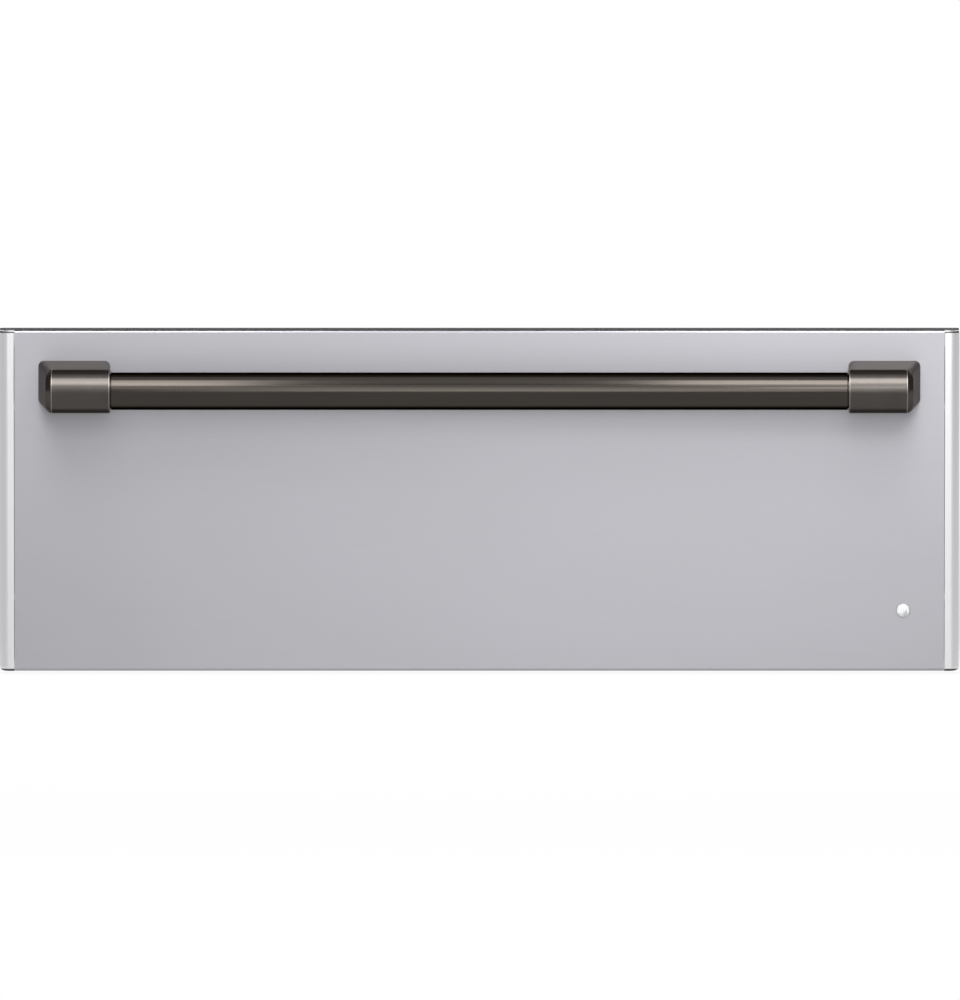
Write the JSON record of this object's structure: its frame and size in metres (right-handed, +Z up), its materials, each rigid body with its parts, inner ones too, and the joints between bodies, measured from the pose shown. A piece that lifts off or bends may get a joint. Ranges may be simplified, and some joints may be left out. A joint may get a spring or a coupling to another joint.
{
  "type": "warming drawer",
  "caption": "Built-in warming drawer: brushed stainless front with a dark bar handle on an insulated heated case, drawer on ball slides.",
  "frame": {"origin": "middle of the outline in plan, on the plane that the skid rails rest on", "axes": "+X to the right along the handle, -Y out of the drawer front, +Z up"},
  "size_m": [0.7556, 0.6708, 0.2729],
  "materials": {
    "brushed_stainless": "fine vertical-free satin brush, clear",
    "trim_stainless": "bright satin stainless",
    "plain_stainless": "mill finish stainless sheet",
    "black_moulding": "moulded black plastic",
    "bronze_bar": "brushed dark bronze over steel",
    "bronze_post": "satin dark bronze, cast",
    "zinc_screw": "zinc plated",
    "galvanised_steel": "galvanised sheet with faint spangle",
    "fibre_board": "pressed mineral fibre",
    "fibre_blanket": "glass fibre blanket",
    "bright_bezel": "satin chromed ring",
    "frosted_lens": "frosted white lens",
    "clear_rod": "clear acrylic",
    "white_moulding": "moulded white nylon",
    "grey_silicone": "extruded silicone",
    "black_rubber": "moulded rubber",
    "bright_aluminium": "bright rolled aluminium",
    "element_sheath": "oxidised nickel alloy sheath",
    "slide_steel": "zinc plated rolled steel",
    "ball_steel": "hardened bright steel",
    "chromed_wire": "bright chromed wire",
    "green_board": "glass epoxy circuit board",
    "grey_button": "moulded grey plastic"
  },
  "bodies": {
    "case": {"pilot_lamp": "white_moulding", "case_wrapper": "galvanised_steel", "case_lid": "galvanised_steel", "case_back": "galvanised_steel", "case_screws": "zinc_screw", "front_frame": "plain_stainless", "mouth_gasket": "grey_silicone", "corner_bumpers": "black_rubber", "skid_rails": "galvanised_steel", "cavity_liner": "plain_stainless", "insulation_blanket": "fibre_blanket", "heat_reflector": "bright_aluminium", "heating_element": "element_sheath", "element_clips": "galvanised_steel", "temperature_probe": "plain_stainless", "thermal_cutout": "black_moulding", "terminal_block": "black_moulding", "cord_gland": "black_moulding", "control_fascia": "black_moulding", "level_lights": "clear_rod", "button_switches": "black_moulding", "control_board": "green_board", "slide_screws": "zinc_screw", "slide_outer_left": "slide_steel", "slide_outer_right": "slide_steel"},
    "drawer": {"front_skin": "brushed_stainless", "top_cap": "black_moulding", "inner_sheet": "plain_stainless", "front_insulation": "fibre_board", "vent_cover": "plain_stainless", "handle_bar": "bronze_bar", "handle_backers": "galvanised_steel", "handle_screws": "zinc_screw", "pilot_bezel": "bright_bezel", "pilot_lens": "frosted_lens", "light_pipe": "clear_rod", "side_trim_left": "trim_stainless", "handle_post_left": "bronze_post", "slide_inner_left": "slide_steel", "carriage_rail_left": "galvanised_steel", "side_trim_right": "trim_stainless", "handle_post_right": "bronze_post", "slide_inner_right": "slide_steel", "carriage_rail_right": "galvanised_steel", "rear_cross_rail": "galvanised_steel", "drawer_pan": "plain_stainless", "wire_rack": "chromed_wire", "carriage_screws": "zinc_screw"},
    "humidity_shutter_body": {"humidity_shutter": "plain_stainless"},
    "slide_middle_left_body": {"slide_middle_left": "slide_steel"},
    "ball_cage_outer_left_body": {"ball_cage_outer_left": "ball_steel"},
    "ball_cage_inner_left_body": {"ball_cage_inner_left": "ball_steel"},
    "slide_middle_right_body": {"slide_middle_right": "slide_steel"},
    "ball_cage_outer_right_body": {"ball_cage_outer_right": "ball_steel"},
    "ball_cage_inner_right_body": {"ball_cage_inner_right": "ball_steel"},
    "button_power_body": {"button_power": "grey_button"},
    "button_low_body": {"button_low": "grey_button"},
    "button_medium_body": {"button_medium": "grey_button"},
    "button_high_body": {"button_high": "grey_button"},
    "button_timer_body": {"button_timer": "grey_button"}
  },
  "joints": [
    {"name": "drawer_slide", "type": "slide", "parent": "case", "child": "drawer", "axis": [0, -1, 0], "range_m": [0, 0.48]},
    {"name": "slide_middle_left_travel", "type": "slide", "parent": "case", "child": "slide_middle_left_body", "axis": [0, -1, 0], "range_m": [0, 0.24]},
    {"name": "ball_cage_outer_left_travel", "type": "slide", "parent": "case", "child": "ball_cage_outer_left_body", "axis": [0, -1, 0], "range_m": [0, 0.12]},
    {"name": "ball_cage_inner_left_travel", "type": "slide", "parent": "case", "child": "ball_cage_inner_left_body", "axis": [0, -1, 0], "range_m": [0, 0.36]},
    {"name": "slide_middle_right_travel", "type": "slide", "parent": "case", "child": "slide_middle_right_body", "axis": [0, -1, 0], "range_m": [0, 0.24]},
    {"name": "ball_cage_outer_right_travel", "type": "slide", "parent": "case", "child": "ball_cage_outer_right_body", "axis": [0, -1, 0], "range_m": [0, 0.12]},
    {"name": "ball_cage_inner_right_travel", "type": "slide", "parent": "case", "child": "ball_cage_inner_right_body", "axis": [0, -1, 0], "range_m": [0, 0.36]},
    {"name": "humidity_slide", "type": "slide", "parent": "drawer", "child": "humidity_shutter_body", "axis": [1, 0, 0], "range_m": [0, 0.013]},
    {"name": "button_power_press", "type": "slide", "parent": "case", "child": "button_power_body", "axis": [0, 1, 0], "range_m": [0, 0.001], "stiffness_N_per_m": 1500},
    {"name": "button_low_press", "type": "slide", "parent": "case", "child": "button_low_body", "axis": [0, 1, 0], "range_m": [0, 0.001], "stiffness_N_per_m": 1500},
    {"name": "button_medium_press", "type": "slide", "parent": "case", "child": "button_medium_body", "axis": [0, 1, 0], "range_m": [0, 0.001], "stiffness_N_per_m": 1500},
    {"name": "button_high_press", "type": "slide", "parent": "case", "child": "button_high_body", "axis": [0, 1, 0], "range_m": [0, 0.001], "stiffness_N_per_m": 1500},
    {"name": "button_timer_press", "type": "slide", "parent": "case", "child": "button_timer_body", "axis": [0, 1, 0], "range_m": [0, 0.001], "stiffness_N_per_m": 1500}
  ],
  "couplings": [
    {"joint": "slide_middle_left_travel", "follows": "drawer_slide", "ratio": 0.5},
    {"joint": "ball_cage_outer_left_travel", "follows": "drawer_slide", "ratio": 0.25},
    {"joint": "ball_cage_inner_left_travel", "follows": "drawer_slide", "ratio": 0.75},
    {"joint": "slide_middle_right_travel", "follows": "drawer_slide", "ratio": 0.5},
    {"joint": "ball_cage_outer_right_travel", "follows": "drawer_slide", "ratio": 0.25},
    {"joint": "ball_cage_inner_right_travel", "follows": "drawer_slide", "ratio": 0.75}
  ]
}
